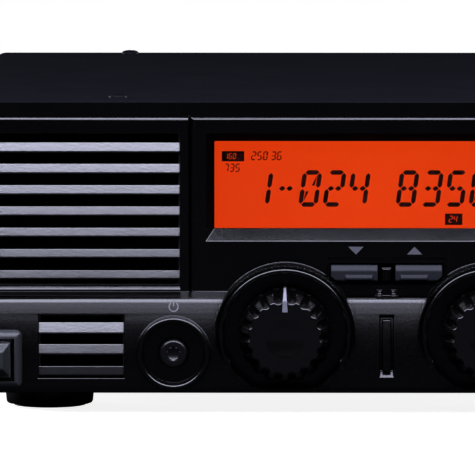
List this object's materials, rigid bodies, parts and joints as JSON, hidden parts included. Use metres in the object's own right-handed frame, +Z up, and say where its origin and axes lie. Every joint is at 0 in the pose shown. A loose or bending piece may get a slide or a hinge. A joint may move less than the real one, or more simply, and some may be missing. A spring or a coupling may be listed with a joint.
{
  "type": "hf transceiver",
  "caption": "Desk and mobile HF radio with a moulded black front, louvred loudspeaker grille, orange display, collared control knobs, rubber jack cap and a finned rear wall.",
  "frame": {"origin": "on the table, below the middle of the whole radio", "axes": "+Z up, the front faces -Y, +X to the right as seen from the front"},
  "size_m": [0.241, 0.301, 0.1077],
  "materials": {
    "case_plastic": "fine textured black moulding",
    "grille_plastic": "fine textured black moulding",
    "key_plastic": "satin dark grey moulding",
    "knob_plastic": "satin black moulding",
    "pointer_white": "white inlay",
    "cap_rubber": "soft matt grey rubber",
    "clear_lens": "clear acrylic",
    "lcd_orange": "orange backlit panel",
    "lcd_segment": "dark switched segments",
    "backlight_white": "white light guide",
    "board_green": "solder mask",
    "switch_black": "moulded",
    "bright_steel": "plated steel",
    "magnet_grey": "ferrite",
    "cloth_black": "dust cloth",
    "paper_cone": "pressed paper",
    "chassis_alloy": "cast and machined",
    "painted_steel": "textured black enamel on sheet steel",
    "sink_black": "black anodised",
    "fan_black": "moulded",
    "socket_plating": "nickel plated",
    "insulator_cream": "moulded",
    "contact_brass": "turned",
    "coil_copper": "wound wire on a ring core",
    "inlet_white": "moulded nylon",
    "jack_black": "moulded",
    "can_tin": "tinned sheet",
    "ribbon_grey": "flat cable",
    "foot_plastic": "glossy black moulding",
    "foot_rubber": "soft pad"
  },
  "bodies": {
    "radio": {"front_panel": "case_plastic", "speaker_grille": "grille_plastic", "lower_grille": "grille_plastic", "display_lens": "clear_lens", "lcd_glass": "lcd_orange", "backlight": "backlight_white", "front_board": "board_green", "panel_switches": "switch_black", "channel_encoder": "bright_steel", "volume_pot": "bright_steel", "control_nuts": "bright_steel", "mic_jack": "jack_black", "speaker_cloth": "cloth_black", "speaker_frame": "bright_steel", "speaker_cone": "paper_cone", "speaker_magnet": "magnet_grey", "inner_screws": "bright_steel", "chassis": "chassis_alloy", "top_cover": "painted_steel", "bottom_cover": "painted_steel", "heat_sink": "sink_black", "fan_frame": "fan_black", "fan_guard": "bright_steel", "rear_screws": "bright_steel", "antenna_socket": "socket_plating", "antenna_insulator": "insulator_cream", "antenna_contact": "contact_brass", "ground_stud": "contact_brass", "ground_nut": "contact_brass", "dc_inlet": "inlet_white", "dc_pins": "contact_brass", "data_sockets": "socket_plating", "phone_jacks": "jack_black", "main_board": "board_green", "amplifier_board": "board_green", "shield_cans": "can_tin", "power_transistors": "switch_black", "filter_coils": "coil_copper", "board_standoffs": "contact_brass", "ribbon_cable": "ribbon_grey", "front_feet": "foot_plastic", "rear_feet": "foot_plastic", "foot_pads": "foot_rubber", "foot_screws": "bright_steel", "case_screws": "painted_steel"},
    "channel_knob": {"channel_knob": "knob_plastic", "channel_pointer": "pointer_white", "channel_shaft": "bright_steel"},
    "volume_knob": {"volume_knob": "knob_plastic", "volume_pointer": "pointer_white", "volume_shaft": "bright_steel"},
    "power_button": {"power_button": "key_plastic"},
    "key_down": {"key_down": "key_plastic"},
    "key_up": {"key_up": "key_plastic"},
    "side_key_1": {"side_key_1": "key_plastic"},
    "side_key_2": {"side_key_2": "key_plastic"},
    "side_key_3": {"side_key_3": "key_plastic"},
    "side_key_4": {"side_key_4": "key_plastic"},
    "mic_cap": {"mic_cap": "cap_rubber"},
    "fan_rotor": {"fan_rotor": "fan_black"}
  },
  "joints": [
    {"name": "channel_turn", "type": "hinge", "parent": "radio", "child": "channel_knob", "pos_m": [-0.00515, -0.1395, 0.0277], "axis": [0, 1, 0], "continuous": true},
    {"name": "volume_turn", "type": "hinge", "parent": "radio", "child": "volume_knob", "pos_m": [0.06485, -0.1395, 0.0277], "axis": [0, 1, 0], "range_deg": [-150, 150]},
    {"name": "power_press", "type": "slide", "parent": "radio", "child": "power_button", "axis": [0, 1, 0], "range_m": [0, 0.002], "stiffness_N_per_m": 900},
    {"name": "channel_down_press", "type": "slide", "parent": "radio", "child": "key_down", "axis": [0, 1, 0], "range_m": [0, 0.0008], "stiffness_N_per_m": 1200},
    {"name": "channel_up_press", "type": "slide", "parent": "radio", "child": "key_up", "axis": [0, 1, 0], "range_m": [0, 0.0008], "stiffness_N_per_m": 1200},
    {"name": "side_key_1_press", "type": "slide", "parent": "radio", "child": "side_key_1", "axis": [0, 1, 0], "range_m": [0, 0.0008], "stiffness_N_per_m": 1200},
    {"name": "side_key_2_press", "type": "slide", "parent": "radio", "child": "side_key_2", "axis": [0, 1, 0], "range_m": [0, 0.0008], "stiffness_N_per_m": 1200},
    {"name": "side_key_3_press", "type": "slide", "parent": "radio", "child": "side_key_3", "axis": [0, 1, 0], "range_m": [0, 0.0008], "stiffness_N_per_m": 1200},
    {"name": "side_key_4_press", "type": "slide", "parent": "radio", "child": "side_key_4", "axis": [0, 1, 0], "range_m": [0, 0.0008], "stiffness_N_per_m": 1200},
    {"name": "mic_cap_pull", "type": "slide", "parent": "radio", "child": "mic_cap", "axis": [0, -1, 0], "range_m": [0, 0.02]},
    {"name": "fan_spin", "type": "hinge", "parent": "radio", "child": "fan_rotor", "pos_m": [0.005, 0.1195, 0.0625], "axis": [0, 1, 0], "continuous": true}
  ]
}
